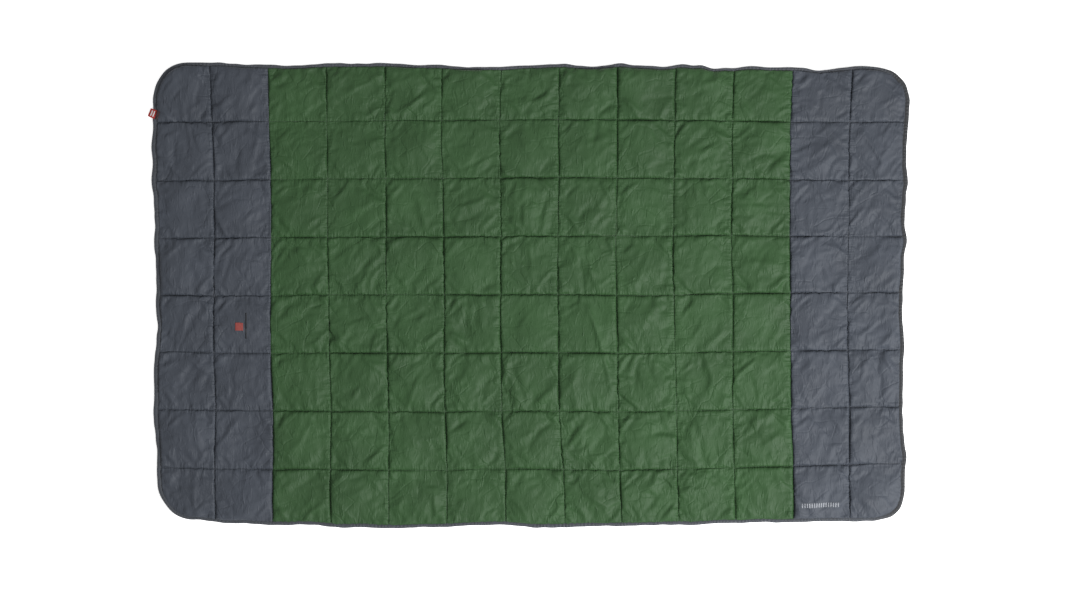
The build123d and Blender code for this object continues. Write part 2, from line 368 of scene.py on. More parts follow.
def pocket_folds(seed, xs, ys):
    """Random folds of every pocket: puckers off its seams, folds across its corners, longer ones."""
    rng = np.random.default_rng(seed)
    field = np.zeros((len(xs), len(ys)))

    def sign():
        return rng.choice((-1, 1))

    def fold(x, y, angle, length, tall, wide, bow, peak=1.0):
        skew = rng.uniform(-0.45, 0.45)
        add_fold(field, xs, ys, (x, y), angle, length, tall, wide, skew, rng.normal(0, bow), peak)

    for x0, x1 in zip(X_MARKS[:-1], X_MARKS[1:]):
        for y0, y1 in zip(Y_MARKS[:-1], Y_MARKS[1:]):
            middle_x = 0.5 * (x0 + x1)
            middle_y = 0.5 * (y0 + y1)
            main = math.radians(rng.normal(52, 38))
            active = rng.uniform(0.7, 1.3) * 0.84 * (1 - 0.06 * middle_x / HALF_L)
            if abs(middle_x) < 10 and -80 < middle_y < -70:
                active = 0.3  # one calm pocket near the middle
            for side in range(4):
                for k in range(FOLDS_A_SIDE):
                    share = rng.uniform(0.04, 0.96)
                    x = (x0 + share * (x1 - x0), x1, x0 + share * (x1 - x0), x0)[side]
                    y = (y0, y0 + share * (y1 - y0), y1, y0 + share * (y1 - y0))[side]
                    angle = (0.5, 1.0, -0.5, 0.0)[side] * math.pi + rng.normal(0, 0.35)
                    tall = PUCKER_TALL * active * sign() * rng.uniform(0.25, 0.9)
                    fold(x, y, angle, rng.gamma(2.2, 9) + 10, tall, rng.uniform(2.2, 4.5), 0.08, 0.7)
            for corner in range(4):
                x = (x0, x1)[corner % 2]
                y = (y0, y1)[corner // 2]
                in_x = (1, -1)[corner % 2]
                in_y = (1, -1)[corner // 2]
                for k in range(5):
                    away = rng.uniform(14, 55)
                    length = away * rng.uniform(1.0, 1.7)
                    angle = math.atan2(in_y, -in_x) + rng.normal(0, 0.18)
                    px = x + in_x * away * 0.7 - math.cos(angle) * length / 2
                    py = y + in_y * away * 0.7 - math.sin(angle) * length / 2
                    tall = CORNER_TALL * active * sign() * rng.uniform(0.3, 1.1)
                    fold(px, py, angle, length, tall, rng.uniform(2.3, 4.6), 0.06)
            for k in range(5):
                length = rng.uniform(45, 125)
                angle = main + rng.normal(0, 0.25)
                px = middle_x + rng.normal(0, 34) - math.cos(angle) * length / 2
                py = middle_y + rng.normal(0, 34) - math.sin(angle) * length / 2
                tall = LONG_TALL * active * sign() * rng.uniform(0.5, 1.6)
                fold(px, py, angle, length, tall, rng.uniform(4, 9), 0.07)
            for k in range(2 * FOLDS_A_SIDE):
                angle = rng.uniform(0, math.pi) if rng.random() < 0.5 else main + rng.normal(0, 0.4)
                px = x0 + rng.uniform(0.06, 0.94) * (x1 - x0)
                py = y0 + rng.uniform(0.06, 0.94) * (y1 - y0)
                tall = SMALL_TALL * active * sign() * rng.uniform(0.15, 0.7)
                fold(px, py, angle, rng.uniform(14, 50), tall, rng.uniform(2.5, 5), 0.08)
    return field


# The valleys along the rows are wider than the others, by one over this share
ROW_WIDER = 0.78
# About how far the middle of a pocket is from its seams, in mm
POCKET_MIDDLE = 76


def stitched_sheet(seed, cells, near, seam_z, shape, fold_scale, spare, long_folds, lowest):
    """One layer of cloth quilted along the stitch lines, as a grid of points in mm."""
    trench, trench_w, dome, dome_w = shape
    xs = axis_points(X_MARKS, cells, near)
    ys = axis_points(Y_MARKS, cells, near)
    x, y = np.meshgrid(xs, ys, indexing="ij")
    clear = edge_distance(x, y) - tape_reach(x)
    column_gap = nearest(xs, COLUMN_X)[:, None]
    row_gap = nearest(ys, ROW_Y)[None, :]
    gaps = (column_gap, row_gap * ROW_WIDER, clear)
    steep, slow = zip(*[seam_profile(gap, trench_w, dome_w) for gap in gaps])
    peak = (1 - math.exp(-POCKET_MIDDLE / dome_w)) ** 2
    height = trench * np.prod(np.broadcast_arrays(*steep), axis=0)
    height = height + dome * np.prod(np.broadcast_arrays(*slow), axis=0) / peak
    seam_near = np.minimum(np.minimum(column_gap, row_gap), np.maximum(clear, 0))
    free = np.clip(seam_near / 5.0, 0, 1)

    field = pocket_folds(seed, xs, ys)
    if long_folds:
        for x0, y0, x1, y1, tall, wide in LONG_FOLDS:
            length = math.hypot(x1 - x0, y1 - y0)
            angle = math.atan2(y1 - y0, x1 - x0)
            add_fold(field, xs, ys, (x0, y0), angle, length, tall, wide, 0.4, 0.03, 0.7)
    broad = 1.8 * noise(seed + 2, x, y, 60.0) + 1.0 * noise(seed + 3, x, y, 32.0)
    flat = np.stack([x, y, seam_z + height], -1)
    target = flat[..., 2] + fold_scale * free * (field + broad)
    target = np.maximum(target, lowest if lowest is not None else seam_z - 0.3 + 0.35 * height)
    floor = lowest if lowest is not None else (seam_z - 0.4 + 0.25 * height).astype(np.float32)

    points = np.stack([x, y, target], -1)
    on_x = (column_gap < 0.01) & (clear > 0)
    on_y = (row_gap < 0.01) & (clear > 0)
    rng = np.random.default_rng(seed)
    wander = 0.7 * noise(71, x, y, 26.0)
    points[..., 0] += np.where(on_x & ~on_y, wander, 0)
    points[..., 1] += np.where(on_y & ~on_x, wander, 0)
    dip = np.clip(0.35 * noise(seed + 9, x, y, 14.0) + 0.15 * rng.standard_normal(x.shape), -0.5, 0.6)
    points[..., 2] += np.where(on_x | on_y, dip, 0)
    weight = np.where(on_x | on_y | (clear <= 0), 0.0, 1.0).astype(np.float32)
    spare_cloth = spare * np.clip(1 + 0.5 * noise(seed + 4, x, y, 70.0), 0.2, 2)
    lengths = rest_lengths(flat, spare_cloth)
    points = points.astype(np.float32)
    relax(points, weight, lengths, target, floor, up=0.08, down=0.06, steps=30, bend=0.1)
    return points.astype(float), x, y


# Cells of each cloth across a pocket, the grid lines nearest a seam, and the pocket's section:
# height and width of the steep rise beside a seam, then of the slow dome, in mm
FACE_CELLS = 36
LINING_CELLS = 24
FACE_NEAR = (1.1, 2.5, 4.6, 8.2)
LINING_NEAR = (2.0, 5.0, 9.5)
FACE_SHAPE = (4.2, 2.3, 7.0, 22.0)
LINING_SHAPE = (-2.6, 4.0, -3.2, 24.0)
face, face_x, face_y = stitched_sheet(
    11, FACE_CELLS, FACE_NEAR, FACE_SEAM_Z, FACE_SHAPE, 1.0, 0.03, True, None
)
lining, lining_x, lining_y = stitched_sheet(
    57, LINING_CELLS, LINING_NEAR, LINING_SEAM_Z, LINING_SHAPE, 0.3, 0.015, False, 0.25
)
EDGE_LINES = len(HIDDEN_EDGE)


def resample(values, xs, ys, new_xs, new_ys):
    """Values of a grid at other grid lines."""

    def shares(old, new):
        i = np.clip(np.searchsorted(old, new) - 1, 0, len(old) - 2)
        return i, (new - old[i]) / (old[i + 1] - old[i])

    i, u = shares(xs, np.asarray(new_xs, float))
    j, v = shares(ys, np.asarray(new_ys, float))
    u = u[:, None, None]
    v = v[None, :, None]
    rows = values[i] * (1 - u) + values[i + 1] * u
    return rows[:, j] * (1 - v) + rows[:, j + 1] * v


# ---------------------------------------------------------------- meshes
def put(name, data):
    """A new object in the scene."""
    made = bpy.data.objects.new(name, data)
    bpy.context.scene.collection.objects.link(made)
    return made


def add_mesh(name, points, quads, uv=None, material=None, slots=None):
    """A smooth mesh piece from points in mm and faces of four corners (or three, as -1)."""
    points = np.asarray(points, float).reshape(-1, 3) * MM
    quads = np.asarray(quads, int)
    corners = quads.ravel()
    keep = corners >= 0
    counts = (quads >= 0).sum(1)
    mesh = bpy.data.meshes.new(name)
    mesh.vertices.add(len(points))
    mesh.vertices.foreach_set("co", points.astype(np.float32).ravel())
    mesh.loops.add(int(counts.sum()))
    mesh.loops.foreach_set("vertex_index", corners[keep].astype(np.int32))
    mesh.polygons.add(len(quads))
    starts = np.concatenate([[0], np.cumsum(counts)[:-1]]).astype(np.int32)
    mesh.polygons.foreach_set("loop_start", starts)
    mesh.polygons.foreach_set("loop_total", counts.astype(np.int32))
    mesh.update(calc_edges=True)
    mesh.polygons.foreach_set("use_smooth", np.ones(len(quads), bool))
    if uv is not None:
        layer = mesh.uv_layers.new(name="flat")
        flat = np.asarray(uv, float).reshape(-1, 2)[corners[keep]] * MM
        layer.data.foreach_set("uv", flat.astype(np.float32).ravel())
    for m in material if isinstance(material, (list, tuple)) else [material]:
        if m is not None:
            mesh.materials.append(m)
    if slots is not None:
        mesh.polygons.foreach_set("material_index", np.asarray(slots, np.int32))
    mesh.validate()
    mesh.update()
    return put(name, mesh)


def grid_quads(nx, ny, keep=None, flip=False):
    i, j = np.meshgrid(np.arange(nx - 1), np.arange(ny - 1), indexing="ij")
    a = i * ny + j
    quads = np.stack([a, a + ny, a + ny + 1, a + 1], -1)
    if flip:
        quads = quads[..., ::-1]
    return quads[keep] if keep is not None else quads.reshape(-1, 4)


def compact(quads, *arrays):
    """Drops the points that no face uses from the faces and from each array of points."""
    used = np.unique(quads)
    place = np.full(len(arrays[0]), -1)
    place[used] = np.arange(len(used))
    return place[quads], *[array[used] for array in arrays]


def least_corner(grid):
    """The least of each cell's four corners."""
    return np.minimum.reduce([grid[1:, 1:], grid[:-1, 1:], grid[1:, :-1], grid[:-1, :-1]])


def cloth_piece(name, grid, x, y, first, last, flip, material):
    """A piece of a cloth grid between two lines of it along X."""
    part = warped(grid[first : last + 1])
    px = x[first : last + 1]
    py = y[first : last + 1]
    well_in = least_corner(edge_distance(px, py)) > 2.0
    quads = grid_quads(part.shape[0], part.shape[1], well_in, flip)
    uv = np.stack([px, py], -1).reshape(-1, 2)
    quads, points, uv = compact(quads, part.reshape(-1, 3), uv)
    return add_mesh(name, points, quads, uv, material)


def across_fold(piece):
    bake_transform(piece)


# ---------------------------------------------------------------- materials
class Look:
    """A new material, with short ways to add nodes to it."""

    def __init__(self, name):
        self.material = bpy.data.materials.new(name)
        self.material.use_nodes = True
        self.tree = self.material.node_tree

    def feed(self, node, inputs):
        """Gives a node's inputs plain values, or links other nodes' outputs to them."""
        for key, source in inputs.items():
            if hasattr(source, "is_output"):
                self.tree.links.new(source, node.inputs[key])
            else:
                node.inputs[key].default_value = source

    def add(self, kind, inputs, output=0, **settings):
        """Adds a node and gives back one of its outputs."""
        node = self.tree.nodes.new("ShaderNode" + kind)
        for key, setting in settings.items():
            setattr(node, key, setting)
        self.feed(node, inputs)
        return node.outputs[output]

    def flat(self):
        """Where a point lies on the flat cloth, in metres."""
        return self.add("UVMap", {}, uv_map="flat")

    def place(self):
        """Where a point lies in the object's frame, in metres."""
        return self.add("TexCoord", {}, "Object")

    def math(self, operation, *terms):
        return self.add("Math", dict(enumerate(terms)), operation=operation)

    def noise(self, place, scale, detail, output="Fac"):
        return self.add("TexNoise", {"Vector": place, "Scale": scale, "Detail": detail}, output)

    def bands(self, place, scale, direction, **more):
        inputs = {"Vector": place, "Scale": scale, **more}
        return self.add("TexWave", inputs, "Fac", wave_type="BANDS", bands_direction=direction)

    def span(self, value, low, high, start=0.0, end=1.0, **settings):
        """Turns a value between start and end into one between low and high."""
        inputs = {"Value": value, "From Min": start, "From Max": end, "To Min": low, "To Max": high}
        return self.add("MapRange", inputs, **settings)

    def ramp(self, value, low, high, dark, light):
        """A colour that goes from dark, at the value low, to light, at high."""
        node = self.tree.nodes.new("ShaderNodeValToRGB")
        for end, at, colour in zip(node.color_ramp.elements, (low, high), (dark, light)):
            end.position = at
            end.color = (*colour, 1)
        self.feed(node, {"Fac": value})
        return node.outputs[0]

    def bump(self, height, depth, strength=1.0, **more):
        """A bumped normal: depth is in mm."""
        inputs = {"Height": height, "Distance": depth * MM, "Strength": strength, **more}
        return self.add("Bump", inputs)

    def finish(self, **inputs):
        """Sets the shader's inputs, named with _ for a space, and gives back the material."""
        named = {key.replace("_", " "): source for key, source in inputs.items()}
        self.feed(self.tree.nodes["Principled BSDF"], named)
        return self.material


def times(colour, factor):
    return [c * factor for c in colour]


def wave_scale(fineness):
    """Scale of a wave texture whose bands then lie about 6.2 times the fineness apart, in mm."""
    return 1000.0 / fineness / 6.2832 * 0.32


def creases(look, flat):
    """Fine straight creases: streaks in one of two directions, with long cracks between some."""

    def streaks(degrees):
        """Ridged noise drawn out in one direction."""
        turn = (0, 0, math.radians(degrees))
        spun = look.add("Mapping", {"Vector": flat, "Rotation": turn, "Scale": (1, 0.4, 1)})
        inputs = {"Vector": spun, "Scale": 100.0, "Detail": 3.0, "Roughness": 0.6, "Distortion": 0.9}
        return look.add("TexNoise", inputs, noise_type="RIDGED_MULTIFRACTAL")

    patches = look.noise(flat, 9.0, 1.0)
    choose = look.span(patches, 0.0, 1.0, 0.42, 0.58)
    picked = look.add("Mix", {"Factor": choose, "A": streaks(-52.0), "B": streaks(-118.0)})
    stray = look.noise(flat, 16.0, 3.0, "Color")
    inputs = {0: stray, 1: (0.016, 0.016, 0.0), 2: flat}
    astray = look.add("VectorMath", inputs, operation="MULTIPLY_ADD")
    edge = look.add("TexVoronoi", {"Vector": astray, "Scale": 21.0}, feature="DISTANCE_TO_EDGE")
    crease = look.math("MINIMUM", look.math("MULTIPLY", edge, 16.0), 1.0)
    shown = look.span(patches, 0.03, 0.36, 0.58, 0.40)
    return look.math("ADD", picked, look.math("MULTIPLY", crease, shown))


def gathers(look, flat):
    """Small gathers that run away from both ways of stitch lines."""
    half = SEAM_PITCH / 2 * MM
    across = look.add("SeparateXYZ", {0: flat})

    def puckers(place, stretch):
        drawn = look.add("Mapping", {"Vector": flat, "Scale": stretch})
        distance = look.math("PINGPONG", place, half)
        near = look.span(distance, 1.0, 0.0, 0.001, 0.026, interpolation_type="SMOOTHSTEP")
        return look.math("MULTIPLY", look.noise(drawn, 150.0, 1.5), near)

    from_column = puckers(look.math("SUBTRACT", across, half), (0.22, 1.0, 1.0))
    from_row = puckers(across.node.outputs["Y"], (1.0, 0.22, 1.0))
    return look.math("ADD", from_column, from_row)


def cloth_material(name, colour, fineness, crinkle, sheen, rough):
    """Plain-weave cloth: threads, small crinkles, slight changes of shade, soft gloss."""
    look = Look(name)
    flat = look.flat()
    threads = [
        look.bands(flat, wave_scale(fineness), way, Distortion=0.6, Detail=1.0) for way in ("X", "Y")
    ]
    weave = look.math("MAXIMUM", *threads)
    drift = look.noise(flat, 7.0, 4.0)
    grain = look.noise(flat, 900.0, 2.0)
    crinkles = look.bump(creases(look, flat), crinkle)
    gathered = look.bump(gathers(look, flat), 1.5 * crinkle, Normal=crinkles)
    shade = look.ramp(drift, 0.32, 0.68, times(colour, 0.9), times(colour, 1.1))
    tone = look.span(grain, 0.75, 1.2)
    inputs = {"Fac": 0.35, "Color1": shade, "Color2": tone}
    return look.finish(
        Base_Color=look.add("MixRGB", inputs, blend_type="MULTIPLY"),
        Normal=look.bump(weave, 0.03, 0.5, Normal=gathered),
        Roughness=look.span(drift, rough - 0.06, rough + 0.06),
        Sheen_Weight=sheen,
        Sheen_Roughness=0.4,
        Specular_IOR_Level=0.25,
    )


def tape_material(name, colour):
    """Woven tape with ribs across it, with painted shade darkening it at the foot end."""
    look = Look(name)
    flat = look.flat()
    ribs = look.bands(flat, wave_scale(0.7), "X", Distortion=0.8)
    drift = look.noise(flat, 60.0, 4.0)
    shade = look.ramp(drift, 0.3, 0.7, times(colour, 0.8), times(colour, 1.25))
    along = look.add("SeparateXYZ", {"Vector": look.place()})
    # painted shade: the tape's colour darkens towards its foot end (+X), standing in for the shade on
    # that side
    foot = look.span(along, 1.0, 0.28, 0.90, 0.965)
    return look.finish(
        Base_Color=look.add("VectorMath", {"Vector": shade, "Scale": foot}, operation="SCALE"),
        Normal=look.bump(ribs, 0.08, 0.8),
        Roughness=look.span(drift, 0.6, 0.8),
        Sheen_Weight=0.15,
    )


def thread_material(name, colour):
    """Twisted sewing thread."""
    look = Look(name)
    twist = look.bands(look.place(), 900.0, "DIAGONAL")
    return look.finish(
        Base_Color=look.ramp(twist, 0.0, 1.0, times(colour, 0.75), times(colour, 1.3)),
        Normal=look.bump(twist, 0.05, 0.6),
        Roughness=0.55,
        Sheen_Weight=0.2,
    )


def fill_material(name, colour):
    """Loose polyester wadding."""
    look = Look(name)
    inputs = {"Vector": look.place(), "Scale": 140.0, "Detail": 8.0, "Roughness": 0.7}
    fibre = look.add("TexNoise", inputs)
    return look.finish(
        Base_Color=look.ramp(fibre, 0.35, 0.65, times(colour, 0.8), colour),
        Normal=look.bump(fibre, 0.8),
        Roughness=0.95,
    )


GREEN = (0.0205, 0.0555, 0.0175)
CHARCOAL = (0.0365, 0.0425, 0.0540)
green_cloth = cloth_material("green_ripstop", GREEN, 0.5, 1.9, 0.05, 0.62)
charcoal_cloth = cloth_material("charcoal_ripstop", CHARCOAL, 0.5, 1.9, 0.05, 0.62)
lining_cloth = cloth_material("charcoal_lining", (0.060, 0.066, 0.082), 0.5, 0.25, 0.1, 0.55)
tape_cloth = tape_material("binding_tape", (0.0262, 0.0305, 0.0385))
green_thread = thread_material("green_thread", (0.008, 0.018, 0.008))
charcoal_thread = thread_material("charcoal_thread", (0.010, 0.011, 0.014))
# dark maroon tack thread, also dark enough to carry the painted shade at the label's sewn end
maroon_thread_and_shade = thread_material("maroon_thread_and_shade", (0.035, 0.008, 0.008))
wadding = fill_material("polyester_wadding", (0.85, 0.85, 0.82))
label_cloth = cloth_material("woven_red", (0.24, 0.016, 0.012), 0.4, 0.1, 0.05, 0.7)
pale_ink = cloth_material("pale_print", (0.42, 0.40, 0.40), 0.5, 0.1, 0.0, 0.7)
strip_ink = cloth_material("grey_print", (0.21, 0.22, 0.24), 0.5, 0.1, 0.0, 0.7)
red_ink = cloth_material("red_print", (0.20, 0.042, 0.036), 0.5, 0.1, 0.0, 0.7)
dark_ink = cloth_material("dark_print", (0.013, 0.015, 0.019), 0.5, 0.1, 0.0, 0.6)

# ---------------------------------------------------------------- face, lining, batting
head_i = EDGE_LINES + HEAD_SEAM * FACE_CELLS
foot_i = EDGE_LINES + FOOT_SEAM * FACE_CELLS
end_i = len(face_x) - 1
for part, first, last, material, slot, columns in (
    ("head", 0, head_i, charcoal_cloth, "charcoal_shell", 2),
    ("centre", head_i, foot_i, green_cloth, "green_shell", 9),
    ("foot", foot_i, end_i, charcoal_cloth, "charcoal_shell", 2),
):
    piece = cloth_piece("face_%s_panel" % part, face, face_x, face_y, first, last, False, material)
    across_fold(piece)
    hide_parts("face_%s_near" % part, "face_%s_far" % part)

under = cloth_piece(
    "lining_sheet", lining, lining_x, lining_y, 0, len(lining_x) - 1, True, lining_cloth
)
across_fold(under)
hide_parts("lining_near", "lining_far")

FILL_STEP = 3


def hull(z, reach, lowest):
    """Lowest (or highest) height within a few grid lines of each point."""
    pick = np.minimum if lowest else np.maximum
    for axis in (0, 1):
        spread = z
        for shift in range(1, reach + 1):
            spread = pick(spread, pick(np.roll(z, shift, axis), np.roll(z, -shift, axis)))
        z = spread
    return z


# every third grid line, and every line where the quilt folds
lines_x, lines_y = [range(EDGE_LINES, n - EDGE_LINES) for n in face_x.shape]
by_fold = np.abs(face_y[0]) < 1.4 * BLEND_REACH / MM
lines_y = [j for j in lines_y if (j - EDGE_LINES) % FILL_STEP == 0 or by_fold[j]]
inner = np.ix_(lines_x[::FILL_STEP], lines_y)
fill_x = face_x[inner]
fill_y = face_y[inner]
over = hull(face[..., 2], FILL_STEP, True)[inner]
below = resample(lining[..., 2:], lining_x[:, 0], lining_y[0], face_x[:, 0], face_y[0])[..., 0]
below = hull(below, FILL_STEP, False)[inner]
middle_z = 0.5 * (FACE_SEAM_Z + LINING_SEAM_Z)
tuck = 1.1 * np.exp(-((fill_y / 24.0) ** 2))
top_z = np.maximum(over - 0.45, middle_z + 0.15)
low_z = np.minimum(below + 0.4 + tuck, middle_z - 0.15 + np.minimum(tuck, 0.2))
least = least_corner(edge_distance(fill_x, fill_y))
# no batting under the column stitches where the quilt folds: there the layers lie too close
bare = (nearest(fill_x, COLUMN_X) < 5.0) & (np.abs(fill_y) < 26.0)
cell_in = (least > SIDE_REACH - 4.0) & ~least_corner(bare)
count = fill_x.size
points = np.concatenate(
    [
        warped(np.stack([fill_x, fill_y, top_z], -1)).reshape(-1, 3),
        warped(np.stack([fill_x, fill_y, low_z], -1)).reshape(-1, 3),
    ]
)
nx, ny = fill_x.shape
upper = grid_quads(nx, ny, cell_in)
lower = grid_quads(nx, ny, cell_in, True) + count
walls = []
padded_in = np.pad(cell_in, 1)
for i in range(nx - 1):
    for j in range(ny - 1):
        if not cell_in[i, j]:
            continue
        a = i * ny + j
        b = a + ny
        sides = ((-1, 0, a, a + 1), (1, 0, b + 1, b), (0, -1, b, a), (0, 1, a + 1, b + 1))
        for di, dj, p, q in sides:
            if not padded_in[i + 1 + di, j + 1 + dj]:
                walls.append((p, q, q + count, p + count))
quads = np.concatenate([upper, lower, np.array(walls)])
quads, points = compact(quads, points)
filling = add_mesh("batting_layer", points, quads, None, wadding)
across_fold(filling)
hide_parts("batting_near", "batting_far")


# ---------------------------------------------------------------- edge binding
TAPE_STEP = 1.8


def outline_path(step):
    """Points, inward normals and distance along the quilt's outline, before it is warped."""
    a = HALF_L - CORNER_R
    b = HALF_W - CORNER_R
    sides = [
        ((-a, -HALF_W), (a, -HALF_W), (0, 1)),
        ((HALF_L, -b), (HALF_L, b), (-1, 0)),
        ((a, HALF_W), (-a, HALF_W), (0, -1)),
        ((-HALF_L, b), (-HALF_L, -b), (1, 0)),
    ]
    turns = [((a, -b), -90), ((a, b), 0), ((-a, b), 90), ((-a, -b), 180)]
    place = []
    normal = []
    for (start, end, inward), (centre, angle) in zip(sides, turns):
        length = math.hypot(end[0] - start[0], end[1] - start[1])
        for k in range(int(length / step)):
            t = k / int(length / step)
            place.append((start[0] + t * (end[0] - start[0]), start[1] + t * (end[1] - start[1])))
            normal.append(inward)
        arc = int(CORNER_R * math.pi / 2 / step)
        for k in range(arc):
            turn = math.radians(angle + 90.0 * k / arc)
            c = (math.cos(turn), math.sin(turn))
            place.append((centre[0] + CORNER_R * c[0], centre[1] + CORNER_R * c[1]))
            normal.append((-c[0], -c[1]))
    place = np.array(place)
    normal = np.array(normal)
    gaps = np.linalg.norm(np.roll(place, -1, 0) - place, axis=1)
    return place, normal, np.concatenate([[0], np.cumsum(gaps)[:-1]])


# Across the tape: distance in from the edge, height, and how much it puckers there
TAPE_SECTION = [
    (12.9, 10.0, 0.35), (11.7, 9.35, 0.20), (10.7, 8.95, 0.05), (9.6, 9.3, 0.25),
    (7.6, 9.75, 0.45), (5.0, 9.85, 0.50), (2.6, 9.4, 0.45), (0.8, 8.6, 0.35),
    (-0.2, 7.3, 0.30), (0.2, 6.1, 0.30), (1.7, 5.1, 0.35), (4.6, 4.5, 0.40),
    (7.6, 4.6, 0.40), (10.0, 5.1, 0.15), (10.9, 5.3, 0.05), (12.4, 4.6, 0.20),
]
tape_place, tape_normal, tape_run = outline_path(TAPE_STEP)


def tape_wobble(seed):
    """Closed smooth noise along the tape: slow, and pucker by pucker."""
    rng = np.random.default_rng(seed)
    total = tape_run[-1] + TAPE_STEP

    def waves(counts):
        return sum(
            rng.uniform(-1, 1) * np.sin(2 * math.pi * k * tape_run / total + rng.uniform(0, 6.3))
            for k in counts
        )

    return 0.35 * waves(range(40, 160, 7)), 0.36 * waves(range(560, 860, 13))


tape_slow, tape_quick = tape_wobble(5)


def tape_point(index, inset, z, pucker):
    """A point on the tape's surface, in mm, before it is warped."""
    reach = (tape_reach(tape_place[index][..., 0]) + 1.9) / TAPE_SECTION[0][0]
    side = 0.7 * tape_slow[index]
    spot = tape_place[index] + tape_normal[index] * (inset * reach + side)[..., None]
    lift = pucker * tape_quick[index] * np.where(z > 7.2, 1.0, -1.0)
    return np.concatenate([spot, (z + lift)[..., None]], -1)


steps = len(tape_place)
index = np.arange(steps)
rings = [tape_point(index, *[np.full(steps, v) for v in part]) for part in TAPE_SECTION]
tape = warped(np.stack(rings, 1))
across = len(TAPE_SECTION)
closed = np.concatenate([tape, tape[:1]])
run = np.concatenate([tape_run, [tape_run[-1] + TAPE_STEP]])
widths = [math.dist(p[:2], q[:2]) for p, q in zip(TAPE_SECTION, TAPE_SECTION[1:])]
width = np.concatenate([[0], np.cumsum(widths)])
uv = np.stack(np.meshgrid(run, width, indexing="ij"), -1)
binding = add_mesh(
    "edge_binding_tape", closed, grid_quads(steps + 1, across, None, True), uv, tape_cloth
)
across_fold(binding)
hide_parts("edge_binding_near", "edge_binding_far")


# ---------------------------------------------------------------- stitches
STITCH_SIDES = 4
STITCH_PITCH = 4.2
THREAD_RADIUS = 0.42
HEM_THREAD_RADIUS = 0.36
# Rings of a stitch: how far along it, how thick, and how far raised
STITCH_RINGS = ((0.06, 0.55, -0.10), (0.26, 1.0, 0.30), (0.74, 1.0, 0.30), (0.94, 0.55, -0.10))


def stitches(starts, ends, radius, side):
    """Points and faces of a small rounded stitch between each two holes, on the side 1 or -1."""
    starts = np.asarray(starts, float)
    ends = np.asarray(ends, float)
    along = ends - starts
    length = np.linalg.norm(along, axis=1, keepdims=True)
    along = along / np.maximum(length, 1e-6)
    up = np.array([0.0, 0.0, float(side)])
    sideways = np.cross(along, up)
    sideways /= np.maximum(np.linalg.norm(sideways, axis=1, keepdims=True), 1e-6)
    lift = np.cross(sideways, along)
    rings = []
    for share, fat, raised in STITCH_RINGS:
        centre = starts + share * (ends - starts) + lift * raised * (radius + 0.15)
        for k in range(STITCH_SIDES):
            angle = 2 * math.pi * (k + 0.5) / STITCH_SIDES
            around = math.cos(angle) * sideways + math.sin(angle) * lift
            rings.append(centre + radius * fat * around)
    per = len(STITCH_RINGS) * STITCH_SIDES + 2
    tips = [starts - lift * 0.15, ends - lift * 0.15]
    points = np.stack(rings + tips, 1)
    faces = []
    for ring in range(len(STITCH_RINGS) - 1):
        for k in range(STITCH_SIDES):
            a = ring * STITCH_SIDES + k
            b = ring * STITCH_SIDES + (k + 1) % STITCH_SIDES
            faces.append((a, a + STITCH_SIDES, b + STITCH_SIDES, b))
    last = (len(STITCH_RINGS) - 1) * STITCH_SIDES
    for k in range(STITCH_SIDES):
        n = (k + 1) % STITCH_SIDES
        faces.append((per - 2, k, n, -1))
        faces.append((per - 1, last + n, last + k, -1))
    faces = np.array(faces)[None]
    base = (np.arange(len(starts)) * per)[:, None, None]
    faces = np.where(faces >= 0, faces + base, -1).reshape(-1, 4)
    return points.reshape(-1, 3), faces


def seam_holes(grid, x, y, line, along_x):
    """The holes along one stitch line of a cloth grid, and which of them are clear of the binding."""
    place = (slice(None), line) if along_x else (line, slice(None))
    path = grid[place]
    spots = np.stack([x[place], y[place]], -1)
    run = np.concatenate([[0], np.cumsum(np.linalg.norm(np.diff(spots, axis=0), axis=1))])
    at = np.linspace(0, run[-1], int(run[-1] / STITCH_PITCH))
    holes = np.stack([np.interp(at, run, path[:, k]) for k in range(3)], -1)
    spots = np.stack([np.interp(at, run, spots[:, k]) for k in range(2)], -1)
    clear = edge_distance(spots[:, 0], spots[:, 1]) - tape_reach(spots[:, 0])
    return warped(holes), clear > 1.6, spots


def joined(parts):
    """Several sets of points and faces as one set."""
    points = []
    faces = []
    total = 0
    for some_points, some_faces in parts:
        points.append(some_points)
        faces.append(np.where(some_faces >= 0, some_faces + total, -1))
        total += len(some_points)
    return np.concatenate(points), np.concatenate(faces)


def seam_piece(name, line, along_x):
    """Both threads of one stitch line: the needle thread on the face, the bobbin thread below."""
    parts = []
    slots = []
    for grid, x, y, cells, side in (
        (face, face_x, face_y, FACE_CELLS, 1),
        (lining, lining_x, lining_y, LINING_CELLS, -1),
    ):
        holes, free, spots = seam_holes(grid, x, y, EDGE_LINES + line * cells, along_x)
        both = free[:-1] & free[1:]
        parts.append(stitches(holes[:-1][both], holes[1:][both], THREAD_RADIUS, side))
        per = len(parts[-1][1]) // max(both.sum(), 1)
        grey = np.abs(spots[:-1][both][:, 0]) > COLUMN_X[FOOT_SEAM - 1] - 1.0
        slots.append(np.repeat(grey.astype(int), per))
    threads = [green_thread, charcoal_thread]
    return add_mesh(name, *joined(parts), None, threads, np.concatenate(slots))


for line in range(1, COLUMNS):
    piece = seam_piece("quilting_column_stitches_%02d" % line, line, False)
    across_fold(piece)
    node = "quilting_column_%02d" % line
    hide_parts(node + "_near", node + "_far")
for line in range(1, ROWS):
    piece = seam_piece("quilting_row_stitches_%d" % line, line, True)
    if line == FOLD_ROW:
        across_fold(piece)
    else:
        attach(piece, "near_half" if line < FOLD_ROW else "far_half")
    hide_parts("quilting_row_%d" % line)

holes = np.arange(0, steps, 2)
parts = []
for inset, z, side in ((10.7, 9.0, 1), (10.9, 5.25, -1)):
    spot = warped(tape_point(holes, *[np.full(len(holes), v) for v in (inset, z, 0.05)]))
    parts.append(stitches(spot, np.roll(spot, -1, 0), HEM_THREAD_RADIUS, side))
hem = add_mesh("binding_stitches", *joined(parts), None, charcoal_thread)
across_fold(hem)
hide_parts("binding_stitch_near", "binding_stitch_far")


